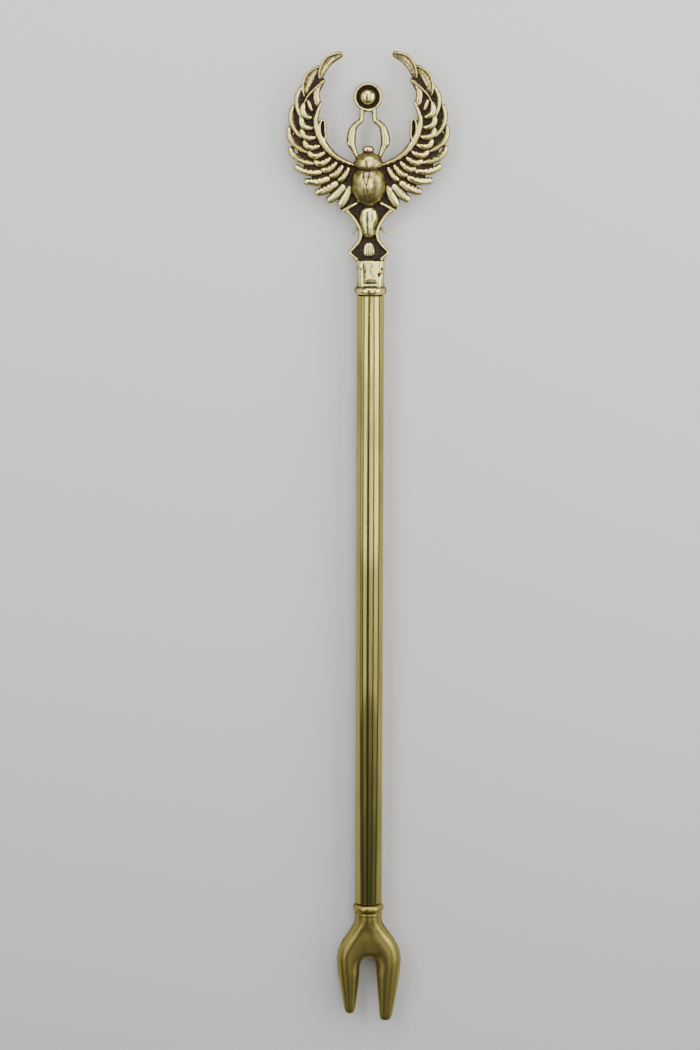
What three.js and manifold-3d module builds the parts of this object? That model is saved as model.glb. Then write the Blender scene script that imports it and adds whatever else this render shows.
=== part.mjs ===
// A brass sceptre, lying face up: a cast winged scarab that holds the sun disc, a plain tube
// for the hand, and a cast foot with two prongs.
//
// Millimetres. The sceptre lies along Y with its head towards +Y. Its face looks along +Z,
// and it rests on the plane z = 0. The origin is on that plane, under the middle of its length.

import * as THREE from "three";
import { mergeVertices } from "three/addons/utils/BufferGeometryUtils.js";
import Module from "manifold-3d";

const wasm = await Module();
wasm.setup();

// The shaft is a drawn tube. Each casting has a round spigot that goes into it.
const shaft = { diameter: 12.7, wall: 1.0, length: 290, facets: 28 };
const joint = { clearance: 0.3, spigotLength: 14, spigotChamfer: 0.8 };

// A bead runs round each casting where it meets the shaft. Both beads have a narrow flat
// underneath, so that the sceptre lies still.
const headBead = { diameter: 15.0, width: 4.0 };
const footBead = { diameter: 14.6, width: 4.2 };
const restFlatWidth = 4.0;

// The socket is the squarish block between the head's bead and the figure.
const socket = { width: 13.2, depth: 11.4, height: 11.5, cornerRadius: 3.4, bevel: 0.7 };

// The figure is drawn round the centre of the circle that both wings make. Places and widths
// in its own plane are shares of that circle's radius. Its heights are millimetres.
const wingRadius = 37;
const wingCentre = 0.03;
const figureFoot = -1.632;
const figureSink = 0.5;
const figureLeanDegrees = 0.6;
const figureShift = -0.75;
const plate = { front: 0.2, back: 1.7 };

// The foot's sizes are measured down from its joint with the shaft. The slot between its
// prongs widens downwards. The longer prong is also fuller at the shoulder.
const foot = {
  neckDiameter: 13,
  neckLength: 10,
  shoulderWidth: 30.2,
  shoulderDepth: 30,
  slotWidth: 7.4,
  slotTop: 26,
  slotFlare: 0.07,
  prongThickness: 11,
  tipThickness: 5.4,
};
const longProng = { length: 58.4, fullness: 1.4, tipWidth: 8.6, tipCentre: 8.2 };
const shortProng = { length: 55, fullness: 0, tipWidth: 6.5, tipCentre: 8.7 };

// Where the figure starts, above the head's joint with the shaft.
const socketSeat = joint.clearance + headBead.width;
const figureSeat = socketSeat + socket.height - figureSink;

const axisHeight = Math.sqrt(
  (Math.min(headBead.diameter, footBead.diameter) / 2) ** 2 - (restFlatWidth / 2) ** 2,
);
const radians = THREE.MathUtils.degToRad;

// Joining and cutting

function solidOf(geometry) {
  geometry.deleteAttribute("normal");
  geometry.deleteAttribute("uv");
  const merged = mergeVertices(geometry, 1e-4);
  return new wasm.Manifold(
    new wasm.Mesh({
      numProp: 3,
      vertProperties: merged.attributes.position.array,
      triVerts: new Uint32Array(merged.index.array),
    }),
  );
}

function geometryOf(solid) {
  const { vertProperties, triVerts } = solid.getMesh();
  const geometry = new THREE.BufferGeometry();
  geometry.setAttribute("position", new THREE.BufferAttribute(vertProperties, 3));
  geometry.setIndex(new THREE.BufferAttribute(triVerts, 1));
  const faceted = geometry.toNonIndexed();
  faceted.computeVertexNormals();
  return faceted;
}

const joined = (solids) => solids.reduce((whole, next) => whole.add(next));

// The same solid on the other side of the plane x = 0.
function mirrored(solid) {
  const geometry = geometryOf(solid).scale(-1, 1, 1);
  const position = geometry.attributes.position;
  const corner = new THREE.Vector3();
  for (let i = 0; i < position.count; i += 3) {
    corner.fromBufferAttribute(position, i);
    const [x, y, z] = [position.getX(i + 1), position.getY(i + 1), position.getZ(i + 1)];
    position.setXYZ(i, x, y, z);
    position.setXYZ(i + 1, corner.x, corner.y, corner.z);
  }
  return solidOf(geometry);
}

// What a casting loses underneath, where its bead would stand lower than the surface.
function restCut() {
  const size = 4 * wingRadius;
  const box = new THREE.BoxGeometry(size, size, size);
  return solidOf(box.translate(0, 0, -size / 2 - axisHeight));
}

// Strokes

// A stroke is a rounded bar laid along a flat path, as a modeller lays a roll of wax. It is a
// sphere drawn out: t runs along the path from 0 to 1, and the section is an oval that swells
// from nothing at each end. Width, crown (the height in front of the middle plane) and back
// are numbers or functions of t. A crease lowers the ridge line.
function stroke(path, { width, crown, back, blunt = 0.5, sides = 6, rings = 7, crease = 0 }) {
  const valueAt = (value, t) => (typeof value === "function" ? value(t) : value);
  const turn = sides % 4 ? Math.PI / sides : 0;
  const widest = sides % 4 ? Math.cos(turn) : 1;
  const geometry = new THREE.SphereGeometry(1, sides, rings);
  const position = geometry.attributes.position;
  for (let i = 0; i < position.count; i++) {
    const t = (1 - position.getY(i)) / 2;
    const round = Math.atan2(position.getZ(i), position.getX(i)) + turn;
    const swell = t > 0 && t < 1 ? (4 * t * (1 - t)) ** (blunt / 2) : 0;
    const centre = path(t);
    const ahead = path(Math.min(t + 0.01, 1)).sub(path(Math.max(t - 0.01, 0))).normalize();
    const across = ((valueAt(width, t) / 2) * swell * Math.cos(round)) / widest;
    const up = Math.sin(round);
    const ridge = up > 0.999 ? 1 - crease : 1;
    const height = up > 0 ? up * valueAt(crown, t) * ridge : up * valueAt(back, t);
    position.setXYZ(
      i,
      centre.x - ahead.y * across,
      centre.y + ahead.x * across,
      height * swell,
    );
  }
  return solidOf(geometry);
}

// The figure's places: straight coordinates, and polar ones round the centre of the wings,
// where 0 degrees points up.
const share = (s) => s * wingRadius;
const at = (x, y) => new THREE.Vector2(share(x), share(y));
const polar = (radius, degrees) =>
  at(radius * Math.sin(radians(degrees)), wingCentre + radius * Math.cos(radians(degrees)));
const through = (points) => {
  const curve = new THREE.SplineCurve(points);
  return (t) => curve.getPoint(t);
};
const oval = (centre, halfWidth, halfHeight, sides) =>
  new THREE.EllipseCurve(centre.x, centre.y, halfWidth, halfHeight).getPoints(sides).slice(1);

// A flat web of metal, cut to an outline in the figure's plane.
function web(points, front = plate.front, back = plate.back) {
  const geometry = new THREE.ExtrudeGeometry(new THREE.Shape(points), {
    depth: front + back,
    bevelEnabled: false,
  });
  return solidOf(geometry.translate(0, 0, -back));
}

// Wings

const primaries = { count: 11, crown: 2.0, back: 1.3 };
const coverts = { count: 9, crown: 2.2, back: 1.0 };
const bar = { crown: 2.7, back: 1.5 };
const leafCount = 2;
const leafBreadth = 1.2;
const rimWidth = 0.034;

// The leaf at the top of the front edge and the ridge above it run through these places, each
// a radius and an angle in degrees.
const topLeafPoints = [
  [0.68, 66],
  [0.727, 60.9],
  [0.767, 57.2],
  [0.801, 52.3],
  [0.815, 46.3],
  [0.803, 41],
];
const ridgePoints = [
  [0.856, 69],
  [0.854, 61.8],
  [0.836, 54.2],
  [0.82, 47.3],
  [0.803, 41],
];

// The radius of the bar along the wing's front edge, which opens like a spiral.
const barRadius = (degrees) =>
  0.481 + 0.183 * THREE.MathUtils.clamp((154 - degrees) / 73, 0, 1) ** 1.25;

// A primary leaves the coverts and sweeps up along the wing's rim. They crowd lower down.
// The upper ones hug the rim and the lower ones are straighter. The leaves start further out.
function primary(i) {
  const { lerp, smoothstep } = THREE.MathUtils;
  const tipAngle = 18.5 + 19.5 * i - 0.545 * i * i;
  const sweep = Math.min(26, 26 - 3.2 * (i - 3));
  const rootRadius = i < leafCount ? 0.86 + 0.015 * i : 0.85 - 0.011 * i;
  const tipRadius = 1 - 0.033 * Math.cos((2 * Math.PI * (i - 2)) / 13);
  const hug = lerp(1.3, 0.68, smoothstep(i, 3.5, 8));
  const rise = (t) => Math.sin((Math.min(hug * t, 1) * Math.PI) / 2);
  const path = (t) =>
    polar(lerp(rootRadius, tipRadius, rise(t) / rise(1)), tipAngle + sweep * (1 - t));
  return { path, width: share(0.084 + 0.003 * i) };
}

// A covert runs out from the bar and curls up at its end.
function covert(k) {
  const rootAngle = 153 - 8.35 * k - 0.12 * k * k;
  const rootRadius = barRadius(rootAngle) + 0.042;
  const tipRadius = 0.722 + 0.0172 * k;
  const curl = 5.4 + 0.75 * k;
  const path = (t) =>
    polar(
      rootRadius + (tipRadius - rootRadius) * Math.sin((t * Math.PI) / 2),
      rootAngle - curl * t ** 3,
    );
  return { path, width: (t) => share(0.066 + 0.036 * t) };
}

// A leaf is a broad low feather with a raised rim along its outer edge.
function leaf(path, width, crown) {
  const rim = (t) => {
    const point = path(t);
    const out = (width * 0.42 * Math.sin(Math.PI * t) ** 0.6) / point.length();
    return point.multiplyScalar(1 + out);
  };
  return [
    stroke(path, { width, crown: crown * 0.5, back: primaries.back, sides: 4, rings: 6 }),
    stroke(rim, { width: share(rimWidth), crown, back: coverts.back, sides: 4, rings: 6 }),
  ];
}

function wing() {
  const solids = [];
  const inner = (degrees) =>
    degrees > 62 ? barRadius(degrees) : 0.72 + 0.0034 * (62 - degrees);
  const outline = [];
  for (let degrees = 166; degrees > 40; degrees -= 7.8) outline.push(polar(0.925, degrees));
  for (let degrees = 41; degrees <= 166; degrees += 6.25) outline.push(polar(inner(degrees), degrees));
  solids.push(web(outline));

  for (let i = 0; i < primaries.count; i++) {
    const { path, width } = primary(i);
    if (i < leafCount) solids.push(...leaf(path, width * leafBreadth, primaries.crown));
    else solids.push(stroke(path, { width, ...primaries, blunt: 0.4, sides: 4, rings: 6 }));
  }
  for (let k = 0; k < coverts.count; k++) {
    const { path, width } = covert(k);
    solids.push(stroke(path, { width, ...coverts, blunt: 0.3, sides: 4, rings: 5 }));
  }

  // The curved leaf at the top of the front edge with the ridge above it and a short vane
  // beside it, then the bar and the loop at the wrist.
  const topLeaf = through(topLeafPoints.map((spot) => polar(...spot)));
  const topLeafWidth = (t) => share(0.12 - 0.04 * t);
  solids.push(stroke(topLeaf, { ...primaries, width: topLeafWidth, crown: 1.7, sides: 4 }));
  const ridge = through(ridgePoints.map((spot) => polar(...spot)));
  solids.push(stroke(ridge, { ...coverts, width: share(rimWidth), sides: 4, rings: 6 }));
  const vane = (t) => polar(0.726 + 0.106 * t, 72.5 - 8.6 * t);
  solids.push(stroke(vane, { ...coverts, width: share(0.06), crown: 1.9, sides: 4, rings: 4 }));
  const barPath = (t) => polar(barRadius(160 - 100 * t), 160 - 100 * t);
  const barWidth = (t) => share(0.056 + 0.044 * Math.sin(Math.PI * t ** 1.3) ** 2);
  solids.push(stroke(barPath, { width: barWidth, ...bar, blunt: 0.25, rings: 10 }));
  const loop = (t) => polar(0.562 + 0.01 * t, 106 - 28 * t);
  solids.push(stroke(loop, { ...bar, width: share(0.096), crown: 2.4, blunt: 0.25 }));
  return joined(solids);
}

// Scarab

const scarab = { elytraCrown: 6.4, pronotumCrown: 5.6, headCrown: 2.6, belly: 3.4 };
const elytraWidth = 0.436;
const pronotumWidth = 0.372;
const pronotumWidest = 0.86;
const frontLimb = { crown: 2.4, back: 1.9, blunt: 0.25 };
const hindLimb = { crown: 2.1, back: 1.5, blunt: 0.25 };

// The front leg, from the disc down to the body, with a spine on its outside.
const frontLegPoints = [
  [0.081, 0.31],
  [0.081, 0.15],
  [0.132, 0.102],
  [0.18, 0.05],
  [0.203, -0.02],
  [0.213, -0.1],
  [0.206, -0.16],
  [0.18, -0.22],
  [0.14, -0.32],
].map(([x, y]) => at(x, y));

function frontLeg() {
  const width = (t) => share(0.068 + 0.044 * Math.sin(Math.PI * t ** 1.8) ** 2);
  const spine = (t) => at(0.2, -0.19).lerp(at(0.27, -0.13), t);
  return [
    stroke(through(frontLegPoints), { ...frontLimb, width, rings: 14 }),
    stroke(spine, { ...frontLimb, width: share(0.05), blunt: 0.5, sides: 4, rings: 4 }),
  ];
}

// The hind leg, which frames the tail: a thigh with a corner of plate above it, a long shin
// bent twice, and a foot.
const shinPoints = [
  [0.315, -0.985],
  [0.242, -1.012],
  [0.154, -1.132],
  [0.108, -1.232],
  [0.109, -1.33],
  [0.162, -1.42],
  [0.252, -1.511],
].map(([x, y]) => at(x, y));
const footPoints = [
  [0.252, -1.511],
  [0.17, -1.575],
  [0.1, figureFoot - 0.05],
].map(([x, y]) => at(x, y));

function hindLeg() {
  const thigh = (t) => at(0.33, -0.99).lerp(at(0.14, -0.885), t);
  const spur = (t) => at(0.12 + 0.09 * t, -1.19 - 0.05 * t - 0.03 * t * t);
  return [
    stroke(thigh, { ...hindLimb, width: share(0.056), rings: 5 }),
    stroke(through(shinPoints), { ...hindLimb, width: share(0.054), sides: 4, rings: 11 }),
    stroke(through(footPoints), { ...hindLimb, width: share(0.056) }),
    stroke(spur, { ...hindLimb, width: share(0.036), crown: 1, sides: 4, rings: 4 }),
    web([at(0.14, -0.8), at(0.14, -0.885), at(0.33, -0.99), at(0.36, -0.955)]),
  ];
}

function frameWeb() {
  const side = [
    at(0.14, -0.885),
    ...new THREE.SplineCurve(shinPoints).getPoints(9),
    ...footPoints.slice(1),
  ];
  const other = side.map((point) => new THREE.Vector2(-point.x, point.y)).reverse();
  return web([...side, ...other]);
}

// Makes a round stroke half-round, with its widest place near its end.
const halfRound = (t) =>
  Math.sqrt(Math.min((2 - t / pronotumWidest) / (4 * pronotumWidest * Math.max(1 - t, 0.01)), 3));

function scarabBody() {
  const middle = (top, bottom) => (t) => at(0, top + (bottom - top) * t);
  return [
    web(oval(at(0, -0.63), share(0.225), share(0.34), 12)),
    // Elytra, creased along the seam where they meet.
    stroke(middle(-0.44, -0.93), {
      width: (t) => share(elytraWidth) * (1 + 0.2 * (1 - t) ** 4 - 0.06 * t ** 3),
      crown: (t) => scarab.elytraCrown * (1.04 - 0.3 * t * t),
      back: scarab.belly,
      blunt: 0.8,
      sides: 14,
      rings: 8,
      crease: 0.06,
    }),
    // Pronotum, a half-round shield that is widest near its hind edge.
    stroke(middle(-0.255, -0.462), {
      width: (t) => share(pronotumWidth) * halfRound(t),
      crown: (t) => scarab.pronotumCrown * Math.sqrt(halfRound(t)),
      back: scarab.belly * 0.7,
      blunt: 1,
      sides: 10,
      rings: 8,
    }),
    // Head.
    stroke(middle(-0.175, -0.275), {
      width: share(0.15),
      crown: scarab.headCrown,
      back: frontLimb.back,
      blunt: 0.9,
      sides: 8,
      rings: 5,
    }),
  ];
}

// Sun disc

const disc = { centre: 0.427, rimRadius: 0.16, rimWidth: 0.042, ballRadius: 0.107, facets: 20 };
const discHeights = { rim: 2.1, floor: 0.1, floorBack: 1.5, ball: 3.4, ballBack: 2.4 };

function sunDisc() {
  const centre = at(0, disc.centre);
  const rimThickness = share(disc.rimWidth) / 2;
  const rim = new THREE.TorusGeometry(share(disc.rimRadius), rimThickness, 4, disc.facets);
  rim.scale(1, 1, discHeights.rim / rimThickness);
  rim.translate(centre.x, centre.y, 0);
  const floor = oval(centre, share(disc.rimRadius), share(disc.rimRadius), disc.facets);
  const ball = (t) => at(0, disc.centre + disc.ballRadius * (1 - 2 * t));
  const sill = (t) => at(0.095 * (2 * t - 1), disc.centre - disc.rimRadius - 0.01);
  return [
    solidOf(rim),
    web(floor, discHeights.floor, discHeights.floorBack),
    stroke(ball, {
      width: share(2 * disc.ballRadius),
      crown: discHeights.ball,
      back: discHeights.ballBack,
      blunt: 1,
      sides: 10,
      rings: 7,
    }),
    stroke(sill, { ...frontLimb, width: share(0.04), crown: discHeights.rim, rings: 4 }),
  ];
}

// Tail: a bell-shaped form and a small leaf-shaped one below it, inside the hind legs.

const tailHeights = { bell: 3.6, bud: 1.2, back: 2.0 };

function tail() {
  const bell = (t) => at(0, -0.935 - 0.395 * t);
  const bud = (t) => at(0, -1.385 - 0.185 * t);
  return [
    stroke(bell, {
      width: (t) => share(0.285 - 0.07 * t),
      crown: tailHeights.bell,
      back: tailHeights.back,
      blunt: 0.62,
      sides: 10,
      rings: 7,
    }),
    stroke(bud, {
      width: (t) => share(0.13 + 0.05 * t),
      crown: tailHeights.bud,
      back: tailHeights.back,
      blunt: 0.6,
      sides: 8,
      rings: 5,
    }),
  ];
}

function figure() {
  const side = joined([wing(), ...frontLeg(), ...hindLeg()]);
  const middle = joined([frameWeb(), ...scarabBody(), ...sunDisc(), ...tail()]);
  const whole = geometryOf(joined([side, mirrored(side), middle]));
  // The foot of the figure comes to the origin, a little to one side, and the lean turns it.
  whole.translate(figureShift, share(-figureFoot), 0);
  whole.rotateZ(radians(figureLeanDegrees));
  return solidOf(whole);
}

// Castings

// A bead with a rounded edge on a spigot. It is turned about Y, with the joint at y = 0 and
// the spigot below it.
function beadAndSpigot(bead) {
  const spigotRadius = shaft.diameter / 2 - shaft.wall - joint.clearance;
  const { spigotLength, spigotChamfer } = joint;
  const radius = bead.diameter / 2;
  const edge = bead.width / 2;
  const profile = [
    new THREE.Vector2(0, -spigotLength),
    new THREE.Vector2(spigotRadius - spigotChamfer, -spigotLength),
    new THREE.Vector2(spigotRadius, -spigotLength + spigotChamfer),
    new THREE.Vector2(spigotRadius, joint.clearance),
  ];
  for (let degrees = -70; degrees <= 70; degrees += 35) {
    profile.push(
      new THREE.Vector2(
        radius - edge + edge * Math.cos(radians(degrees)),
        joint.clearance + edge + edge * Math.sin(radians(degrees)),
      ),
    );
  }
  profile.push(new THREE.Vector2(0, joint.clearance + bead.width));
  return solidOf(new THREE.LatheGeometry(profile, shaft.facets));
}

function socketBlock() {
  const { width, depth, height, cornerRadius, bevel } = socket;
  const halfX = width / 2 - bevel;
  const halfZ = depth / 2 - bevel;
  const outline = new THREE.Shape();
  outline.moveTo(halfX - cornerRadius, -halfZ);
  outline.absarc(halfX - cornerRadius, cornerRadius - halfZ, cornerRadius, radians(-90), 0);
  outline.absarc(halfX - cornerRadius, halfZ - cornerRadius, cornerRadius, 0, radians(90));
  outline.absarc(cornerRadius - halfX, halfZ - cornerRadius, cornerRadius, radians(90), radians(180));
  outline.absarc(cornerRadius - halfX, cornerRadius - halfZ, cornerRadius, radians(180), radians(270));
  outline.closePath();
  const block = new THREE.ExtrudeGeometry(outline, {
    depth: height - bevel,
    bevelSize: bevel,
    bevelThickness: bevel,
    bevelSegments: 1,
    curveSegments: 4,
  });
  return solidOf(block.rotateX(radians(-90)));
}

function headCasting() {
  const winged = geometryOf(figure()).translate(0, figureSeat, 0);
  const block = geometryOf(socketBlock()).translate(0, socketSeat, 0);
  return joined([beadAndSpigot(headBead), solidOf(block), solidOf(winged)]).subtract(restCut());
}

// A prong starts beside its twin in the neck, swings out to the shoulder and tapers to a
// blunt tip. Depths are measured down from the joint.
function prong(side, { length, fullness, tipWidth, tipCentre }) {
  const { neckDiameter, neckLength, shoulderWidth, shoulderDepth, slotWidth } = foot;
  const { lerp, smoothstep } = THREE.MathUtils;
  const neckWidth = 0.76 * neckDiameter;
  const shoulder = (shoulderWidth - slotWidth) / 2 + joint.clearance + fullness;
  const swing = (depth) => smoothstep(depth, 0.75 * neckLength, 0.92 * shoulderDepth);
  const taper = (depth) => smoothstep(depth, 0.85 * shoulderDepth, length);
  const between = (depth, neck, middle, tip) =>
    lerp(lerp(neck, middle, swing(depth)), tip, taper(depth));
  const depthAt = (t) => lerp(footBead.width / 2, length, t);
  const halfThickness = (t) =>
    between(depthAt(t), neckDiameter, foot.prongThickness, foot.tipThickness) / 2;
  const path = (t) => {
    const depth = depthAt(t);
    const neck = (neckDiameter - neckWidth) / 2;
    const middle = (shoulderWidth + fullness - shoulder) / 2;
    return new THREE.Vector2(side * between(depth, neck, middle, tipCentre), -depth);
  };
  return stroke(path, {
    width: (t) => between(depthAt(t), neckWidth, shoulder, tipWidth),
    crown: halfThickness,
    back: halfThickness,
    blunt: 0.3,
    sides: 10,
    rings: 12,
  });
}

// The foot spreads from a round neck into two prongs, the one on the right longer and fuller.
function footCasting() {
  const { neckDiameter, neckLength, slotTop, slotWidth, prongThickness } = foot;
  const crotchEnd = slotTop + 0.8 * slotWidth;
  const crotch = (t) =>
    new THREE.Vector2(0, -THREE.MathUtils.lerp(footBead.width, crotchEnd, t));
  const neck = new THREE.LatheGeometry(
    [
      new THREE.Vector2(0, -1.7 * neckLength),
      new THREE.Vector2(0.34 * neckDiameter, -1.5 * neckLength),
      new THREE.Vector2(0.46 * neckDiameter, -1.2 * neckLength),
      new THREE.Vector2(neckDiameter / 2, -0.8 * neckLength),
      new THREE.Vector2(neckDiameter / 2, -footBead.width / 2),
      new THREE.Vector2(0, -footBead.width / 2),
    ],
    shaft.facets,
  );
  const slot = new THREE.Shape();
  const arcCentre = -slotTop - slotWidth / 2;
  const bottom = -2 * longProng.length;
  const halfOpening = slotWidth / 2 + foot.slotFlare * (arcCentre - bottom);
  slot.absarc(0, arcCentre, slotWidth / 2, 0, Math.PI);
  slot.lineTo(-halfOpening, bottom);
  slot.lineTo(halfOpening, bottom);
  slot.closePath();
  const slotCut = new THREE.ExtrudeGeometry(slot, {
    depth: 2 * neckDiameter,
    bevelEnabled: false,
    curveSegments: 10,
  });
  const bead = geometryOf(beadAndSpigot(footBead)).rotateZ(Math.PI);
  return joined([
    solidOf(bead),
    solidOf(neck),
    prong(-1, shortProng),
    prong(1, longProng),
    stroke(crotch, {
      width: (t) => neckDiameter * (0.9 + 0.8 * t),
      crown: 0.47 * prongThickness,
      back: 0.47 * prongThickness,
      sides: 10,
      rings: 8,
    }),
  ])
    .subtract(solidOf(slotCut.translate(0, 0, -neckDiameter)))
    .subtract(restCut());
}

function shaftTube() {
  const outer = shaft.diameter / 2;
  const inner = outer - shaft.wall;
  const profile = [
    new THREE.Vector2(inner, 0),
    new THREE.Vector2(outer, 0),
    new THREE.Vector2(outer, shaft.length),
    new THREE.Vector2(inner, shaft.length),
    new THREE.Vector2(inner, 0),
  ];
  return new THREE.LatheGeometry(profile, shaft.facets);
}

// Assembly

const headReach = figureSeat - share(figureFoot) + primary(0).path(1).y;
const overall = headReach + shaft.length + longProng.length;
const shaftTop = overall / 2 - headReach;
const shaftBottom = shaftTop - shaft.length;

function part(name, geometry, colour, roughness) {
  const material = new THREE.MeshStandardMaterial({ color: colour, roughness, metalness: 1 });
  const mesh = new THREE.Mesh(geometry, material);
  mesh.name = name;
  return mesh;
}

const sceptre = new THREE.Group();
sceptre.position.z = axisHeight;

const head = part("winged_scarab_head", geometryOf(headCasting()), 0xc9a95a, 0.32);
head.position.y = shaftTop;

const tube = part("shaft_tube", shaftTube(), 0xb79a4c, 0.22);
tube.position.y = shaftBottom;

const forked = part("forked_foot", geometryOf(footCasting()), 0xa98c42, 0.3);
forked.position.y = shaftBottom;

sceptre.add(head, tube, forked);

export default sceptre;
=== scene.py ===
# %% [markdown] # A brass sceptre with a winged scarab  The real sceptre is three pieces
# of brass. The head is a casting: a scarab with spread wings that holds up a sun disc.
# The shaft is a plain drawn tube. The foot is a casting with two prongs. The model lies
# on its back, so the scarab looks up along Z and the head is towards +Y. It says where
# everything is, and the modelled pieces take the places of its three solids.

from math import atan2, cos, pi, radians, sin

import bmesh
import bpy
import numpy as np
from mathutils import Matrix, Vector, noise


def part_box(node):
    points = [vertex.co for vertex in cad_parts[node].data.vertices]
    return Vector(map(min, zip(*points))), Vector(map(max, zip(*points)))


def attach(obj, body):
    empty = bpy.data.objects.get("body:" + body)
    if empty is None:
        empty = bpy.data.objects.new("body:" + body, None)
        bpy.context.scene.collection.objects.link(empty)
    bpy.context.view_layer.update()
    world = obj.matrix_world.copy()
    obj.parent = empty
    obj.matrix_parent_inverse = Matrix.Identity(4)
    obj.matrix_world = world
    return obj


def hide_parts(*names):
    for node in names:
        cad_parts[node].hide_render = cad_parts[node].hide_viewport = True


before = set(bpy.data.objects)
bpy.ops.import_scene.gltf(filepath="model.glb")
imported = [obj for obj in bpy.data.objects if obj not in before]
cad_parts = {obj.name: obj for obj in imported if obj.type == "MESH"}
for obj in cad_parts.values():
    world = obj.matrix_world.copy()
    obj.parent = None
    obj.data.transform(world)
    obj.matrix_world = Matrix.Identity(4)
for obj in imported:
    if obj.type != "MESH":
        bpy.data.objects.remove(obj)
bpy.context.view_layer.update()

# %% [markdown]
# ## Sizes
#
# A maker works in millimetres, so the shapes are worked out in millimetres and turned to
# metres when they are put in place. The tube's own box gives the height of the long axis
# and both joints. The figure is drawn as shares of the radius of the circle that the two
# wings make, which keeps every feather in proportion.

# %% Sizes
MM = 0.001
tube_low, tube_high = (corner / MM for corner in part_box("shaft_tube"))
AXIS_HEIGHT = (tube_low.z + tube_high.z) / 2
SHAFT_RADIUS = (tube_high.x - tube_low.x) / 2
HEAD_JOINT, FOOT_JOINT = tube_high.y, tube_low.y
SHAFT_WALL = 1.0
JOINT_GAP = 0.3
SPIGOT_LENGTH = 14
SPIGOT_CHAMFER = 0.8
COLLAR_HEIGHT = 1.5
COLLAR_ROUND = 0.7
HEAD_BEAD = {"diameter": 15.0, "width": 4.0}
FOOT_BEAD = {"diameter": 14.6, "width": 4.2}
BLOCK = {"width": 13.2, "depth": 11.4, "height": 11.5, "corner": 3.4, "bevel": 0.7}
WING_RADIUS = 37
WING_CENTRE = 0.03
FIGURE_FOOT = -1.632
FIGURE_SINK = 0.5
FIGURE_LEAN = 0.6
FIGURE_SHIFT = -0.75
PLATE_FRONT, PLATE_BACK = 0.2, 1.7
BLOCK_SEAT = JOINT_GAP + HEAD_BEAD["width"]
FIGURE_SEAT = BLOCK_SEAT + BLOCK["height"] - FIGURE_SINK
print("axis at", round(AXIS_HEIGHT, 2), "mm; joints at", round(HEAD_JOINT, 2), round(FOOT_JOINT, 2))

# %% [markdown]
# ## Places on the figure
#
# A place in the figure's flat plane is a Vector of two numbers. Places on the body are
# given across and up from its middle. Places on a wing are given by their distance from
# the centre of the wing circle and their angle from its top, as one would set them out
# with a compass. Two helpers bend the rest: blend mixes two values, and ease rises
# smoothly from 0 to 1 between two limits.

# %% Places
def share(part):
    return part * WING_RADIUS


def place(x, y):
    return Vector((x, y)) * WING_RADIUS


def polar(radius, angle):
    turn = radians(angle)
    return place(radius * sin(turn), WING_CENTRE + radius * cos(turn))


def blend(start, end, part):
    return start + (end - start) * part


def ease(value, low, high):
    part = min(max((value - low) / (high - low), 0), 1)
    return part * part * (3 - 2 * part)


print("the wing circle is", 2 * share(1), "mm across")

# %% [markdown]
# ## Paths
#
# Each part of the figure lies along a flat path. A path could be a Blender curve, but here
# it is only a function, which takes how far along it a point is, from 0 to 1, and gives
# the place. The body needs straight ones. Legs and leaves bend, so their paths run
# smoothly through a few places.

# %% Paths
def straight(start, end):
    return lambda t: start.lerp(end, t)


def middle(top, bottom, lean=0.0):
    return straight(place(0, top), place(lean, bottom))


def through(points):
    """A smooth path through points, the same share of it for each stretch."""
    last = len(points) - 1

    def path(t):
        i = min(int(t * last), last - 1)
        part = t * last - i
        before, start, end, after = (points[min(max(i + k, 0), last)] for k in (-1, 0, 1, 2))
        leave, arrive = (end - before) / 2, (after - start) / 2
        return (
            start
            + leave * part
            + (3 * (end - start) - 2 * leave - arrive) * part**2
            + (2 * (start - end) + leave + arrive) * part**3
        )

    return path


print("halfway down the body is", [round(v, 1) for v in middle(0, -1)(0.5)], "mm")

# %% [markdown]
# ## Rolls of wax
#
# A model for such a casting is built from rolls of wax that are laid on a thin plate and
# pressed together. A roll could be a curve with a bevel, but its section couldn't swell or
# be tooled. Here it starts as a sphere, whose points are moved: from pole to pole the
# sphere follows a path, and its section is an oval of a chosen width, with one height in
# front of the plate and another behind it. A tool gives the surface its cuts: it says how
# much of the width and of the front height is left at each point.

# %% Wax rolls
LOOK_AHEAD = 0.01


def value_at(value, t):
    return value(t) if callable(value) else value


def roll(path, width, crown, back, blunt=0.5, sides=20, rings=26, tool=None):
    bm = bmesh.new()
    bmesh.ops.create_uvsphere(bm, u_segments=sides, v_segments=rings, radius=1)
    rows = {}
    for vert in bm.verts:
        t = min(max((1 - vert.co.z) / 2, 0), 1)
        row = round(t, 5)
        if row not in rows:
            ahead = path(min(t + LOOK_AHEAD, 1)) - path(max(t - LOOK_AHEAD, 0))
            ahead.normalize()
            swell = max(4 * t * (1 - t), 0) ** (blunt / 2)
            sizes = [value_at(size, t) * swell for size in (width, crown, back)]
            rows[row] = (path(t), Vector((-ahead.y, ahead.x)), *sizes)
        centre, left, wide, front, behind = rows[row]
        turn = atan2(vert.co.y, vert.co.x)
        side, up = cos(turn), sin(turn)
        widen, lift = tool(t, side) if tool else (1, 1)
        spot = centre + left * (wide / 2 * side * widen)
        vert.co = (spot.x, spot.y, up * (front * lift if up > 0 else behind))
    return bm


print("a test roll has", len(roll(middle(0, -1), 2, 1, 1).verts), "points")

# %% [markdown]
# ## Sheets and pairs
#
# The thin plate behind the relief is a sheet of wax, cut to an outline and pulled up to
# its thickness. The two sides of the figure mirror each other, so only one is made and the
# other is its mirror image. That turns a shape inside out, which is put right when
# the wax becomes an object.

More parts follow.
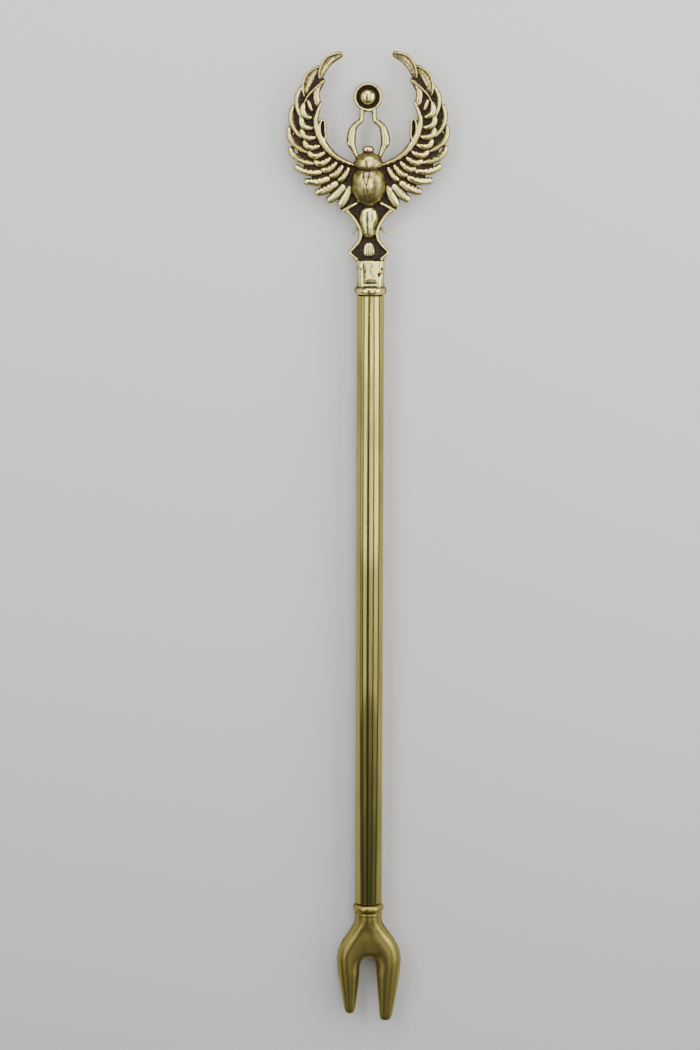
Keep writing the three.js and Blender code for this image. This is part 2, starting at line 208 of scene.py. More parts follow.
# %% Sheets and pairs
def web(outline, front=PLATE_FRONT, back=PLATE_BACK):
    """A flat sheet of wax cut to an outline."""
    bm = bmesh.new()
    face = bm.faces.new([bm.verts.new((p.x, p.y, -back)) for p in outline])
    made = bmesh.ops.extrude_face_region(bm, geom=[face])["geom"]
    raised = [item for item in made if isinstance(item, bmesh.types.BMVert)]
    bmesh.ops.translate(bm, verts=raised, vec=(0, 0, front + back))
    return bm


def together(parts):
    whole = bmesh.new()
    for part in parts:
        shape = bpy.data.meshes.new("wax")
        part.to_mesh(shape)
        part.free()
        whole.from_mesh(shape)
        bpy.data.meshes.remove(shape)
    return whole


def both_sides(parts):
    side = together(parts)
    everything = side.verts[:] + side.edges[:] + side.faces[:]
    bmesh.ops.mirror(side, geom=everything, axis="X", merge_dist=0)
    return side


corner_sheet = web([place(1, 0), place(0, 1), place(0, 0)])
print("a sheet and its mirror image have", len(both_sides([corner_sheet]).verts), "points")

# %% [markdown]
# ## Feathers
#
# Each wing has eleven long feathers round its rim, of which the top two are broad leaves,
# and nine short ones that run out from the front bar. Drawing each by hand would be slow,
# so rules give the angle, the sweep and the length of every feather. They bend as the real
# wing does: the upper feathers hug the rim, and lower down they crowd together and grow
# straighter and fuller. Each rule holds a start, a change from feather to feather and
# sometimes a bend.

# %% Feather rules
PRIMARY = {"count": 11, "crown": 2.0, "back": 1.82}
COVERT = {"count": 9, "crown": 2.2, "back": 1.0}
LEAF_COUNT = 2
TIP_ANGLES = (18.5, 19.5, -0.545)
LEAF_ROOTS, FEATHER_ROOTS = (0.86, 0.015), (0.85, -0.011)
SWEEP, SWEEP_LOSS = 26, 3.2
RIM_WAVE, WAVE_FEATHERS = 0.033, 13
UPPER_HUG, LOWER_HUG = 1.3, 0.68
COVERT_ANGLES = (153, -8.35, -0.12)
COVERT_TIPS, COVERT_CURL = (0.722, 0.0172), (5.4, 0.75)
COVERT_GAP = 0.042
BAR_RADIUS, BAR_OPENING = 0.481, 0.183
BAR_OPENS_AT, BAR_OPENS_OVER = 154, 73


def rule(number, start, each, bend=0):
    return start + each * number + bend * number * number


def bar_radius(angle):
    opened = min(max((BAR_OPENS_AT - angle) / BAR_OPENS_OVER, 0), 1)
    return BAR_RADIUS + BAR_OPENING * opened**1.25


def primary(i):
    tip_angle = rule(i, *TIP_ANGLES)
    sweep = SWEEP - SWEEP_LOSS * max(i - 3, 0)
    root_radius = rule(i, *(LEAF_ROOTS if i < LEAF_COUNT else FEATHER_ROOTS))
    tip_radius = 1.0 - RIM_WAVE * cos(2 * pi * (i - 2) / WAVE_FEATHERS)
    hug = blend(UPPER_HUG, LOWER_HUG, ease(i, 3.5, 8))

    def path(t):
        outward = sin(min(hug * t, 1) * pi / 2) / sin(min(hug, 1) * pi / 2)
        return polar(blend(root_radius, tip_radius, outward), tip_angle + sweep * (1 - t))

    return path, share(0.075 + 0.003 * i + 0.014 * ease(i, 5, 8))


def covert(k):
    root_angle = rule(k, *COVERT_ANGLES)
    root_radius = bar_radius(root_angle) + COVERT_GAP
    tip_radius = rule(k, *COVERT_TIPS)
    curl = rule(k, *COVERT_CURL)

    def path(t):
        radius = blend(root_radius, tip_radius, sin(t * pi / 2))
        return polar(radius, root_angle - curl * t**3)

    return path, lambda t: share(0.085 + 0.02 * t)


long_feather, feather_width = primary(6)
print("feather 6 is", round((long_feather(1) - long_feather(0)).length, 1), "mm long,",
      round(feather_width, 1), "mm wide")

# %% [markdown]
# ## Barbs and veins
#
# The cuts in a feather's upper edge are its barbs, and a leaf has a groove along its
# middle with slanting ones on both sides. They could be a bump in the material, but the
# polish on the real one stops at every cut, so they are cut in the wax. Cosine waves
# along a roll are all it takes.

# %% Barbs and veins
BARB_SLANT, BARB_BITE = 0.5, 1.6
VEIN_SLANT, RIB_WIDTH = 1.1, 0.16


def barbs(count, depth, slope, start=0.1):
    """A feather's upper half slopes down, with slanting cuts in its edge but none at the root."""

    def tool(t, side):
        wave = 0.5 + 0.5 * cos(2 * pi * (count * t + BARB_SLANT * side))
        cut = depth * max(side, 0) * wave * ease(t, start, start + 0.2)
        return 1 - cut, 1 - BARB_BITE * cut - slope * ease(side, -0.1, 0.55)

    return tool


def veins(count, depth):
    """A groove along the middle of a leaf and slanting ones on both sides of it."""

    def tool(t, side):
        rib = 0.5 * max(1 - abs(side) / RIB_WIDTH, 0)
        wave = 0.5 + 0.5 * cos(2 * pi * (count * t - VEIN_SLANT * abs(side)))
        edge = 1 - 0.25 * depth * max(-side, 0) * wave
        return edge, 1 - depth * (wave * min(abs(side) * 2, 1) + rib)

    return tool


print("a barb leaves", [round(v, 2) for v in barbs(5, 0.2, 0.05)(0.4, 1)], "of width and height")

# %% [markdown]
# ## The feathers of a wing
#
# A long feather's upper half slopes down behind the feather above it, which makes them
# overlap like roof tiles. The leaves are lower, with a raised rim along the outer edge.

# %% Feathers
UPPER_SLOPE, LOWER_SLOPE = 0.45, 0.08
LONG_CUTS, SHORT_CUTS = 6, 5
RIM_WIDTH = 0.034
RIM_OUT, BLADE_HEIGHT, LEAF_WIDENING = 0.42, 0.6, 1.6


def leaf(path, width, crown, count):
    def rim(t):
        point = path(t)
        return point * (1 + width * RIM_OUT * max(sin(pi * t), 0) ** 0.6 / point.length)

    cuts = veins(count, 0.12)
    blade = roll(path, width, crown * BLADE_HEIGHT, PRIMARY["back"], rings=48, tool=cuts)
    edge = roll(rim, share(RIM_WIDTH), crown, COVERT["back"], sides=12, rings=40)
    return [blade, edge]


def feathers():
    parts = []
    for i in range(PRIMARY["count"]):
        path, width = primary(i)
        if i < LEAF_COUNT:
            parts += leaf(path, width * LEAF_WIDENING, PRIMARY["crown"], 11 - 2 * i)
        else:
            slope = blend(UPPER_SLOPE, LOWER_SLOPE, ease(i, 3, 7))
            cuts = barbs(LONG_CUTS, 0.13 if 5 <= i <= 8 else 0.04, slope)
            parts.append(
                roll(path, width, PRIMARY["crown"], PRIMARY["back"], 0.4, rings=44, tool=cuts)
            )
    for k in range(COVERT["count"]):
        path, width = covert(k)
        cuts = barbs(SHORT_CUTS, 0.2 * ease(COVERT["count"] - k, 1, 4), 0.05, 0)
        parts.append(roll(path, width, COVERT["crown"], COVERT["back"], 0.55, rings=44, tool=cuts))
    return parts


print("a wing has", PRIMARY["count"] + COVERT["count"], "feathers")

# %% [markdown]
# ## The front edge of a wing
#
# A rounded bar runs along the front edge and opens like a spiral. At the wrist it carries
# a small eyelet, and above it lies a curved leaf with a ridge along its back and a short
# feather beside it. Behind all of this is a thin web of metal, which is what joins the
# feathers into one casting.

# %% Front edge and web
BAR = {"crown": 2.7, "back": 1.78}
BAR_START, BAR_TURN = 160, 100
LOOP = {"start": 106, "turn": 28, "radius": 0.562, "half_width": 0.032, "crown": 2.5}
WEB_RIM = 0.925
TOP_LEAF = [(0.68, 66), (0.727, 60.9), (0.767, 57.2), (0.801, 52.3), (0.815, 46.3), (0.803, 41)]
RIDGE = [(0.856, 69), (0.854, 61.8), (0.836, 54.2), (0.82, 47.3), (0.803, 41)]


def wing_web():
    def inner(angle):
        return bar_radius(angle) if angle > 62 else 0.72 + 0.0034 * (62 - angle)

    outline = [polar(WEB_RIM, angle) for angle in range(166, 40, -5)]
    outline += [polar(inner(angle), angle) for angle in range(41, 167, 5)]
    return web(outline)


def front_edge():
    def leaf_width(t):
        return share(0.11 - 0.04 * t)

    def vane(t):
        return polar(0.726 + 0.106 * t, 72.5 - 8.6 * t)

    def bar(t):
        angle = BAR_START - BAR_TURN * t
        return polar(bar_radius(angle), angle)

    def bar_width(t):
        return share(0.056 + 0.044 * sin(pi * t**1.3) ** 2)

    def loop_side(offset):
        def path(t):
            bow = ease(t, 0, 0.3) * max(1 - (max(t - 0.72, 0) / 0.28) ** 2, 0) ** 0.5
            return polar(LOOP["radius"] + 0.01 * t + offset * bow, LOOP["start"] - LOOP["turn"] * t)

        return path

    stripes = veins(9, 0.1)
    top_leaf, ridge = (through([polar(*spot) for spot in way]) for way in (TOP_LEAF, RIDGE))
    parts = [roll(top_leaf, leaf_width, 1.7, PRIMARY["back"], rings=48, tool=stripes)]
    parts.append(roll(ridge, share(RIM_WIDTH), COVERT["crown"], COVERT["back"], sides=12, rings=40))
    parts.append(roll(vane, share(0.06), 1.9, COVERT["back"]))
    parts.append(roll(bar, bar_width, BAR["crown"], BAR["back"], 0.25, rings=60))
    for offset in (-LOOP["half_width"], LOOP["half_width"]):
        parts.append(
            roll(loop_side(offset), share(0.036), LOOP["crown"], BAR["back"], 0.15, 12, 60)
        )
    floor = roll(loop_side(0), share(0.07), 0.6, BAR["back"], 0.25, sides=12)
    return parts + [floor]


def wings():
    return [both_sides([wing_web(), *front_edge(), *feathers()])]


print("the bar starts at radius", round(share(bar_radius(BAR_START)), 1), "mm")

# %% [markdown]
# ## The wing cases
#
# The hard wing cases are the tallest dome of the body. They meet along a seam that forks
# round a little triangle, and faint furrows run down both. A dome could be a scaled
# sphere, but a roll of wax has the blunt shoulders of the real one, and its tool cuts the
# seam and the furrows.

# %% Wing cases
ELYTRA = {"width": 0.436, "crown": 6.4, "back": 3.4}
FORK_POINT, FORK_END = -0.12, 0.5
FORK_LEFT, FORK_RIGHT = 0.36, 0.24
SEAM_WIDTH, SEAM_DEPTH = 0.085, 0.055
SEAM_END = 0.07
FURROWS, FURROW_WIDTH, FURROW_DEPTH = (0.28, 0.5, 0.72), 0.05, 0.005


def groove(place_of_groove, width):
    return max(1 - abs(place_of_groove) / width, 0)


def seam_and_furrows(t, side):
    """A seam that forks into a V near the top, and faint furrows towards the tail."""
    if t < FORK_END:
        opened = (FORK_END - t) / FORK_END
        left, right = FORK_POINT - FORK_LEFT * opened, FORK_POINT + FORK_RIGHT * opened
        seam = max(groove(side - left, SEAM_WIDTH), groove(side - right, SEAM_WIDTH))
    else:
        middle_line = blend(FORK_POINT, SEAM_END, (t - FORK_END) / (1 - FORK_END))
        seam = groove(side - middle_line, SEAM_WIDTH)
    furrows = max(groove(abs(side) - k, FURROW_WIDTH) for k in FURROWS)
    depth = SEAM_DEPTH * seam + FURROW_DEPTH * furrows * ease(t, 0.45, 0.9)
    return 1, 1 - depth


def wing_cases():
    return roll(
        middle(-0.44, -0.93),
        lambda t: share(ELYTRA["width"]) * (1 + 0.2 * (1 - t) ** 4 - 0.06 * t**3),
        lambda t: ELYTRA["crown"] * (1.04 - 0.3 * t * t),
        ELYTRA["back"],
        0.8,
        sides=192,
        rings=56,
        tool=seam_and_furrows,
    )


print("the wing cases are", round(share(ELYTRA["width"]), 1), "mm wide")

# %% [markdown]
# ## Shield and head
#
# In front of the wing cases sits the half-round shield, and in front of that the small
# head, with a groove between each two. The shield starts as a round roll that is made
# widest near its end. Its hem hangs down in a shallow V, so its points are pulled down
# towards the middle.

# %% Shield and head
SHIELD = {"top": -0.255, "hem": -0.452, "width": 0.372, "crown": 5.6}
SHIELD_BACK = 0.7
WIDEST = 0.86
V_DROP = 0.05
BEETLE_HEAD = {"top": -0.175, "bottom": -0.275, "width": 0.15, "crown": 2.6, "back": 1.9}
BACKING = {"across": 0.225, "centre": -0.63, "up": 0.34}


def half_round(t):
    """What turns a round roll into a half-round one that is widest near its end."""
    return min((2 - t / WIDEST) / (4 * WIDEST * max(1 - t, 0.01)), 3) ** 0.5


def hang_down(bm, top, bottom, half_width, drop):
    """Pulls the points down towards the middle, more the lower they are."""
    for vert in bm.verts:
        low = ease(top - vert.co.y, 0, top - bottom)
        vert.co.y -= drop * low * max(1 - abs(vert.co.x) / half_width, 0)
    return bm


def scarab_body():
    front = roll(
        middle(SHIELD["top"], SHIELD["hem"]),
        lambda t: share(SHIELD["width"]) * half_round(t),
        lambda t: SHIELD["crown"] * half_round(t) ** 0.5,
        ELYTRA["back"] * SHIELD_BACK,
        1,
        sides=96,
        rings=56,
    )
    edges = share(SHIELD["top"]), share(SHIELD["hem"])
    hang_down(front, *edges, share(SHIELD["width"]) / 2, share(V_DROP))
    head = roll(
        middle(BEETLE_HEAD["top"], BEETLE_HEAD["bottom"]),
        share(BEETLE_HEAD["width"]),
        BEETLE_HEAD["crown"],
        BEETLE_HEAD["back"],
        0.9,
        sides=32,
        rings=24,
    )
    backing = [
        place(BACKING["across"] * sin(turn), BACKING["centre"] + BACKING["up"] * cos(turn))
        for turn in np.linspace(0, 2 * pi, 48)[1:]
    ]
    return [web(backing), wing_cases(), front, head]


print("the shield is", round(share(SHIELD["width"]), 1), "mm wide")

# %% [markdown]
# ## Legs
#
# The front legs rise from the shield to the sun disc in a bow, with a spine on the
# outside. The hind legs frame the tail like an hourglass, with a spur inside and a corner
# of plate above the thigh. Each leg is a roll on a path through a few places, because
# straight rolls would show a knee at every joint.

# %% Legs
FRONT_LEG = {"crown": 2.4, "back": 1.9}
HIND_LEG = {"crown": 2.1, "back": 1.8}
FRONT_LIMB = [
    place(*spot)
    for spot in (
        (0.081, 0.31),
        (0.081, 0.15),
        (0.132, 0.102),
        (0.18, 0.05),
        (0.203, -0.02),
        (0.213, -0.1),
        (0.206, -0.16),
        (0.18, -0.22),
        (0.14, -0.32),
    )
]
SPINE = straight(place(0.2, -0.19), place(0.27, -0.13))
SHIN = [
    place(*spot)
    for spot in (
        (0.315, -0.985),
        (0.242, -1.012),
        (0.154, -1.132),
        (0.108, -1.232),
        (0.109, -1.33),
        (0.162, -1.42),
        (0.252, -1.511),
    )
]
HIND_FOOT = [SHIN[-1], place(0.17, -1.575), place(0.1, FIGURE_FOOT - 0.05)]
KNEE, HIP = place(0.33, -0.99), place(0.14, -0.885)


def front_leg():
    def limb_width(t):
        return share(0.07 + 0.048 * sin(pi * t**1.5) ** 2)

    return [
        roll(through(FRONT_LIMB), limb_width, **FRONT_LEG, blunt=0.25, rings=60),
        roll(SPINE, share(0.05), **FRONT_LEG),
    ]


def hind_leg():
    def spur(t):
        return place(0.12 + 0.09 * t, -1.19 - 0.05 * t - 0.03 * t * t)

    return [
        roll(straight(KNEE, HIP), share(0.056), **HIND_LEG, blunt=0.25),
        roll(through(SHIN), share(0.054), **HIND_LEG, blunt=0.25, rings=60),
        roll(through(HIND_FOOT), share(0.05), **HIND_LEG, blunt=0.25),
        roll(spur, share(0.036), 1.0, 1.4, sides=12),
        gusset(),
    ]


def gusset():
    """The corner of plate between the last feather, the body and the thigh."""
    return web([place(0.2, -0.72), place(0.36, -0.955), KNEE, HIP])


def frame_web():
    shin = through(SHIN)
    side = [HIP, *(shin(k / 14) for k in range(15)), *HIND_FOOT[1:]]
    other = [Vector((-p.x, p.y)) for p in reversed(side)]
    return web([*side, *other])


print("the hind legs are", round(2 * max(p.x for p in SHIN), 1), "mm apart at the knees")

# %% [markdown]
# ## The sun disc
#
# The disc is a ring with a ball in it, on a thin floor, and a short sill joins it to the
# front legs. A ring could be a torus, but a small circle spun round the middle is the same
# thing, and its section can be taller than it is wide.

# %% Sun disc
DISC = {"centre": 0.427, "rim": 0.16, "rim_width": 0.042, "ball": 0.107, "sill": 0.095}
DISC_HEIGHTS = {"rim": 2.1, "floor": 0.1, "floor_back": 1.5, "ball": 3.4, "ball_back": 2.4}


def ring(radius, width, height):
    """A closed ring: an oval section spun round Z."""
    bm = bmesh.new()
    bmesh.ops.create_circle(bm, segments=20, radius=width / 2)
    bmesh.ops.rotate(bm, verts=bm.verts, matrix=Matrix.Rotation(pi / 2, 3, "X"))
    bmesh.ops.scale(bm, verts=bm.verts, vec=(1, 1, height / (width / 2)))
    bmesh.ops.translate(bm, verts=bm.verts, vec=(radius, 0, 0))
    section = bm.verts[:] + bm.edges[:]
    bmesh.ops.spin(
        bm, geom=section, cent=(0, 0, 0), axis=(0, 0, 1), angle=2 * pi, steps=72, use_merge=True
    )
    return bm


def sun_disc():
    centre = place(0, DISC["centre"])
    rim = ring(share(DISC["rim"]), share(DISC["rim_width"]), DISC_HEIGHTS["rim"])
    bmesh.ops.translate(rim, verts=rim.verts, vec=(centre.x, centre.y, 0))
    floor = [
        centre + place(DISC["rim"] * cos(turn), DISC["rim"] * sin(turn))
        for turn in np.linspace(0, 2 * pi, 49)[1:]
    ]
    top, bottom = DISC["centre"] + DISC["ball"], DISC["centre"] - DISC["ball"]
    sill_height = DISC["centre"] - DISC["rim"] - 0.01
    sill = straight(place(-DISC["sill"], sill_height), place(DISC["sill"], sill_height))
    return [
        rim,
        web(floor, DISC_HEIGHTS["floor"], DISC_HEIGHTS["floor_back"]),
        roll(
            middle(top, bottom),
            share(2 * DISC["ball"]),
            DISC_HEIGHTS["ball"],
            DISC_HEIGHTS["ball_back"],
            1,
            sides=48,
            rings=32,
        ),
        roll(sill, share(0.04), DISC_HEIGHTS["rim"], FRONT_LEG["back"]),
    ]


print("the disc's ring is", round(2 * share(DISC["rim"]), 1), "mm across")

# %% [markdown]
# ## The tail
#
# Under the body hangs a bell, and under that a flat bud. The real bell has a dent in its
# right flank and the bud a groove down its middle, so both are rolls with a tool.

# %% Tail
BELL_CROWN, BUD_CROWN, TAIL_BACK = 3.6, 1.2, 2.0
BELL_DENT = {"side": 0.85, "along": 0.62, "depth": 0.3}
BUD_GROOVE = {"depth": 0.3, "width": 0.22}


def tail():
    def dented(t, side):
        away = ((side - BELL_DENT["side"]) ** 2 + (2 * (t - BELL_DENT["along"])) ** 2) ** 0.5
        return 1, 1 - BELL_DENT["depth"] * (1 - ease(away, 0.1, 0.6))

    def grooved(t, side):
        return 1, 1 - BUD_GROOVE["depth"] * groove(side, BUD_GROOVE["width"])

    bell = roll(
        middle(-0.935, -1.33),
        lambda t: share(0.285 - 0.07 * t),
        BELL_CROWN,
        TAIL_BACK,
        0.62,
        sides=72,
        rings=40,
        tool=dented,
    )
    bud = roll(
        middle(-1.385, -1.57),
        lambda t: share(0.13 + 0.05 * t),
        BUD_CROWN,
        TAIL_BACK,
        0.6,
        sides=48,
        rings=32,
        tool=grooved,
    )
    return [bell, bud]


print("the bell stands", BELL_CROWN, "mm high and the bud", BUD_CROWN, "mm")

# %% [markdown]
# ## The turned bead
#
# Where each casting meets the tube it has a bead with a low collar, and a spigot that goes
# into the tube. Such parts are turned on a lathe. In Blender, too, a profile is spun round
# the axis, which gives a rounder edge than a bevelled cylinder.

# %% Turned bead
def turned(profile, steps=96):
    """A profile of (radius, length along Y) points, spun round the Y axis."""
    bm = bmesh.new()
    points = [bm.verts.new((radius, along, 0)) for radius, along in profile]
    for first, second in zip(points, points[1:]):
        bm.edges.new((first, second))
    section = bm.verts[:] + bm.edges[:]
    bmesh.ops.spin(
        bm, geom=section, cent=(0, 0, 0), axis=(0, 1, 0), angle=2 * pi, steps=steps, use_merge=True
    )
    bmesh.ops.remove_doubles(bm, verts=bm.verts, dist=1e-4)
    bmesh.ops.recalc_face_normals(bm, faces=bm.faces)
    return bm


def bead_on_spigot(bead, collar):
    spigot = SHAFT_RADIUS - SHAFT_WALL - JOINT_GAP
    edge = bead["width"] / 2
    radius = bead["diameter"] / 2
    profile = [
        (0, -SPIGOT_LENGTH),
        (spigot - SPIGOT_CHAMFER, -SPIGOT_LENGTH),
        (spigot, -SPIGOT_LENGTH + SPIGOT_CHAMFER),
        (spigot, JOINT_GAP),
    ]
    for angle in range(-80, 81, 10):
        turn = radians(angle)
        profile.append((radius - edge + edge * cos(turn), JOINT_GAP + edge + edge * sin(turn)))
    top, half = JOINT_GAP + bead["width"], COLLAR_HEIGHT / 2
    for angle in range(-70, 71, 14):
        turn = radians(angle)
        profile.append((collar + COLLAR_ROUND * cos(turn), top + half + half * sin(turn)))
    profile.append((0, top + COLLAR_HEIGHT))
    return turned(profile)


print("the head's bead has", len(bead_on_spigot(HEAD_BEAD, SHAFT_RADIUS).verts), "points")

# %% [markdown]
# ## The block
#
# Between the bead and the figure is a squarish block. It is a cube with two rounds of
# bevels, large ones on its upright edges and small ones on its rims, and it narrows a
# little towards the tube.

# %% Block
BLOCK_FOOT = 0.9


def block():
    bm = bmesh.new()
    bmesh.ops.create_cube(bm, size=1)
    size = (BLOCK["width"], BLOCK["height"] + 1, BLOCK["depth"])
    bmesh.ops.scale(bm, verts=bm.verts, vec=size)
    uprights = [e for e in bm.edges if abs(e.verts[0].co.y - e.verts[1].co.y) > 1]
    bmesh.ops.bevel(
        bm,
        geom=uprights,
        offset=BLOCK["corner"],
        segments=8,
        profile=0.5,
        affect="EDGES",
        material=-1,
    )
    rims = [f for f in bm.faces if abs(f.normal.y) > 0.9]
    edges = list({e for f in rims for e in f.edges})
    bmesh.ops.bevel(
        bm, geom=edges, offset=BLOCK["bevel"], segments=3, profile=0.5, affect="EDGES", material=-1
    )
    for vert in bm.verts:
        up = vert.co.y / BLOCK["height"] + 0.5
        vert.co.x *= BLOCK_FOOT + (1 - BLOCK_FOOT) * up
        vert.co.y += BLOCK_SEAT + BLOCK["height"] / 2
    return bm


print("the block is", BLOCK["width"], "mm wide under the figure")

# %% [markdown]
# ## Pouring the metal
#
# The rolls only overlap, and in the real casting they have run together. Boolean unions of
# a hundred rolls would be slow and would leave hard creases. A voxel remesh takes the skin
# of everything at once, and a little smoothing leaves the soft corners of cast metal.
# Later the skin is thinned by Decimate, which keeps its points where the skin bends.

# %% Casting
MOST_TRIANGLES = 190000


def as_object(name, bm):
    bmesh.ops.recalc_face_normals(bm, faces=bm.faces)
    mesh = bpy.data.meshes.new(name)
    bm.to_mesh(mesh)
    bm.free()
    made = bpy.data.objects.new(name, mesh)
    bpy.context.scene.collection.objects.link(made)
    return made


def finish_modifiers(thing):
    """Applies a thing's modifiers: its mesh becomes what they make of it."""
    graph = bpy.context.evaluated_depsgraph_get()
    result = bpy.data.meshes.new_from_object(
        thing.evaluated_get(graph), preserve_all_data_layers=True, depsgraph=graph
    )
    thing.modifiers.clear()
    rough, thing.data = thing.data, result
    bpy.data.meshes.remove(rough)
    result.name = thing.name
    return thing


def fuse(thing, grain, rounds):
    skin = thing.modifiers.new("skin", "REMESH")
    skin.mode = "VOXEL"
    skin.voxel_size = grain * MM
    soft = thing.modifiers.new("soft", "SMOOTH")
    soft.factor = 0.5
    soft.iterations = rounds
    return finish_modifiers(thing)


def thin_out(thing, most):
    triangles = sum(len(face.vertices) - 2 for face in thing.data.polygons)
    if triangles > most:
        fewer = thing.modifiers.new("fewer", "DECIMATE")
        fewer.ratio = most / triangles
        finish_modifiers(thing)
    thing.data.shade_smooth()
    return thing


print("a casting keeps", MOST_TRIANGLES, "triangles at most")

# %% [markdown]
# ## The head casting
#
# All the wax of the head is put together lying at the origin. The figure is set on its
# block with a slight lean, as on the real one, and everything is then moved to the tube's
# end and turned into metres, so the piece itself stays at the origin, unturned.

# %% Head casting
HEAD_GRAIN, HEAD_ROUNDS = 0.27, 2


def head_wax():
    figure = together(
        [
            *wings(),
            both_sides([*front_leg(), *hind_leg()]),
            frame_web(),
            *scarab_body(),
            *sun_disc(),
            *tail(),
        ]
    )
    seat = Matrix.Translation((0, FIGURE_SEAT, 0))
    lean = Matrix.Rotation(radians(FIGURE_LEAN), 4, "Z")
    lift = Matrix.Translation((FIGURE_SHIFT, share(-FIGURE_FOOT), 0))
    bmesh.ops.transform(figure, matrix=seat @ lean @ lift, verts=figure.verts)
    collar = BLOCK["width"] / 2 - COLLAR_ROUND
    whole = together([figure, block(), bead_on_spigot(HEAD_BEAD, collar)])
    home = Matrix.Scale(MM, 4) @ Matrix.Translation((0, HEAD_JOINT, AXIS_HEIGHT))
    bmesh.ops.transform(whole, matrix=home, verts=whole.verts)
    return whole


head = as_object("winged_scarab", head_wax())
print("wax of the head:", len(head.data.vertices), "points")
fuse(head, HEAD_GRAIN, HEAD_ROUNDS)
print("skin of the head:", len(head.data.polygons), "faces")

# %% [markdown]
# ## Uneven cast skin
#
# A casting is never quite true. Blender's own noise moves each point of the skin a few
# hundredths of a millimetre along its normal, in small lumps on the head and in long soft
# ones on the foot. The block is rougher, with a faint raised patch and a few pits. The
# narrow flat under the bead, on which the sceptre lies, stays flat.

# %% Cast skin
HEAD_LUMPS, FOOT_LUMPS = (1.3, 0.045), (6, 0.08)
BLOCK_LUMPS = (2.6, 0.09)
# Places on the block's face, each with a radius and a height or a depth.
BLOCK_MARKS = [
    ((-0.8, 11.2), 2.6, 0.06),
    ((4.2, 9.8), 1.3, -1.2),
    ((5.4, 12.4), 1.0, -0.6),
    ((-4.6, 12.2), 0.8, -0.3),
]


def coordinates(mesh):
    spots = np.empty(len(mesh.vertices) * 3)
    mesh.vertices.foreach_get("co", spots)
    return spots.reshape(-1, 3)


def normals(mesh):
    facing = np.empty(len(mesh.vertices) * 3)
    mesh.vertex_normals.foreach_get("vector", facing)
    return facing.reshape(-1, 3)


def move_points(mesh, spots):
    mesh.vertices.foreach_set("co", spots.ravel())
    mesh.update()


def lumps(here, size, height):
    return height * noise.noise(here / size)


def cast_skin(thing, skin_lumps, marks=()):
    """Moves the skin along its normals. Only the piece with marks has a block."""
    mesh = thing.data
    spots, facing = coordinates(mesh), normals(mesh)
    moves = np.zeros(len(spots))
    low = HEAD_JOINT + BLOCK_SEAT + COLLAR_HEIGHT
    high = HEAD_JOINT + BLOCK_SEAT + BLOCK["height"] + 1
    for i, spot in enumerate(spots / MM):
        here = Vector(spot)
        moves[i] = lumps(here, *skin_lumps)
        if marks:
            on_block = ease(here.y, low - 0.5, low + 1) * (1 - ease(here.y, high - 2, high))
            moves[i] += on_block * lumps(here, *BLOCK_LUMPS)
            if here.z > AXIS_HEIGHT:
                for (x, y), radius, height in marks:
                    away = (Vector((here.x, here.y - HEAD_JOINT)) - Vector((x, y))).length
                    moves[i] += height * (1 - ease(away, radius * 0.3, radius))
    spots += facing * moves[:, None] * MM
    spots[:, 2] = np.maximum(spots[:, 2], 0)
    move_points(mesh, spots)


cast_skin(head, HEAD_LUMPS, BLOCK_MARKS)
head_spots = coordinates(head.data) / MM
print("head box", [round(v, 1) for v in head_spots.max(0) - head_spots.min(0)])

# %% [markdown]
# ## Where the dark patina stays
#
# Such castings are dipped in a bath that turns them dark brown, and then polished. The
# wheel only reaches the high relief, so the hollows keep their colour. A material can't
# see how deep a point lies, so the script measures it: how far below its highest
# neighbours each point is, and how much the skin curves inwards there. Both go into one
# attribute, which is 0 on the ridges and 1 in the hollows, and painted shade for flanks
# and domes is added to it.

# %% Measuring the hollows
CELL = 0.3
REACH = 2.1
REACH_CELLS = int(round(REACH / CELL))
DEEP = 1.3
CURVE_ROUNDS = 14


def below_ridges(spots, heights):
    """0 where a height is the highest within reach and 1 where it is the lowest. Shallow
    relief counts for less."""
    grid = np.round((spots[:, :2] - spots[:, :2].min(0)) / CELL).astype(int)
    steps = REACH_CELLS
    shape = grid.max(0) + 1
    tops, floors = np.full(shape + 2 * steps, -99.0), np.full(shape + 2 * steps, 99.0)
    cells = (grid[:, 0] + steps, grid[:, 1] + steps)
    np.maximum.at(tops, cells, heights)
    np.minimum.at(floors, cells, heights)
    ridges, beds = np.full(shape, -99.0), np.full(shape, 99.0)
    for i in range(-steps, steps + 1):
        for j in range(-steps, steps + 1):
            if i * i + j * j <= steps * steps:
                rows = slice(steps + i, steps + i + shape[0])
                columns = slice(steps + j, steps + j + shape[1])
                ridges = np.maximum(ridges, tops[rows, columns])
                beds = np.minimum(beds, floors[rows, columns])
    ridge, bed = (limit[grid[:, 0], grid[:, 1]] for limit in (ridges, beds))
    relief = np.maximum(ridge - bed, 0.05)
    return (ridge - heights) / relief * np.clip(relief / DEEP, 0, 1)


def inward_curve(mesh, spots, facing):
    """How far each point sinks below the average of the skin round it, in millimetres."""
    ends = np.empty(len(mesh.edges) * 2, int)
    mesh.edges.foreach_get("vertices", ends)
    ends = ends.reshape(-1, 2)
    here = np.concatenate([ends[:, 0], ends[:, 1]])
    there = np.concatenate([ends[:, 1], ends[:, 0]])
    count = np.bincount(here, minlength=len(spots))[:, None]
    soft = spots.copy()
    for _ in range(CURVE_ROUNDS):
        total = [np.bincount(here, soft[there, k], len(spots)) for k in range(3)]
        soft = 0.5 * soft + 0.5 * np.stack(total, 1) / count
    return ((soft - spots) * facing).sum(1)


print("a ridge is looked for up to", REACH_CELLS, "cells of", CELL, "mm away")
